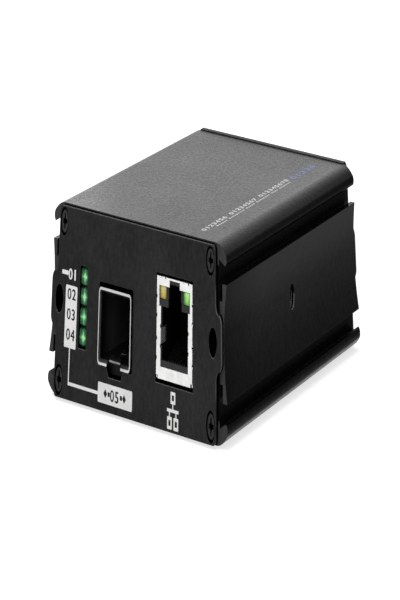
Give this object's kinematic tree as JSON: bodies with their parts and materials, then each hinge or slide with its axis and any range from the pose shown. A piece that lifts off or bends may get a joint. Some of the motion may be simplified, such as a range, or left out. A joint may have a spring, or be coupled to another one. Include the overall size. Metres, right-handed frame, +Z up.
{
  "type": "fibre media converter",
  "caption": "Wide flat extruded-case converter with status lamps, a pluggable-module cage and a modular jack in front, and a round power inlet behind.",
  "frame": {"origin": "middle of the underside", "axes": "X across the front, Y from front to back, Z up"},
  "size_m": [0.0816, 0.1038, 0.0254],
  "materials": {
    "case_metal": "fine sand-blasted dark anodising, satin",
    "panel_metal": "fine black powder coat, matt",
    "screw_black": "black oxide steel, satin",
    "board": "black solder mask",
    "cage_metal": "plated sheet",
    "tinned_metal": "bright tinned sheet",
    "contact_gold": "gold-plated",
    "black_plastic": "moulded, matt",
    "dark_plastic": "moulded, satin",
    "chip_plastic": "moulded epoxy",
    "ferrite": "pressed ferrite, matt",
    "ceramic_tan": "fired ceramic",
    "can_metal": "drawn can, satin",
    "lamp_amber": "tinted clear moulding",
    "lamp_green": "tinted clear moulding",
    "status_green": "tinted clear moulding",
    "print_white": "screen print, matt",
    "print_grey": "screen print, matt",
    "print_blue": "screen print, matt"
  },
  "bodies": {
    "root": {"extruded_body": "case_metal", "front_plate": "panel_metal", "rear_plate": "panel_metal", "front_screws": "screw_black", "rear_screws": "screw_black", "circuit_board": "board", "sfp_cage": "cage_metal", "sfp_host_connector": "black_plastic", "sfp_contacts": "contact_gold", "rj45_shield": "tinned_metal", "rj45_insert": "dark_plastic", "rj45_contacts": "contact_gold", "rj45_led_amber": "lamp_amber", "rj45_led_green": "lamp_green", "led_holder": "black_plastic", "dc_jack": "black_plastic", "dc_jack_pin": "tinned_metal", "dc_jack_spring": "tinned_metal", "bridge_chip": "chip_plastic", "lan_magnetics": "chip_plastic", "config_memory": "chip_plastic", "regulator_chip": "chip_plastic", "power_inductor": "ferrite", "crystal": "cage_metal", "ceramic_parts": "ceramic_tan", "status_led_1": "status_green", "status_led_2": "status_green", "status_led_3": "status_green", "status_led_4": "status_green", "bulk_capacitor_1": "can_metal", "bulk_capacitor_2": "can_metal"}
  },
  "joints": []
}
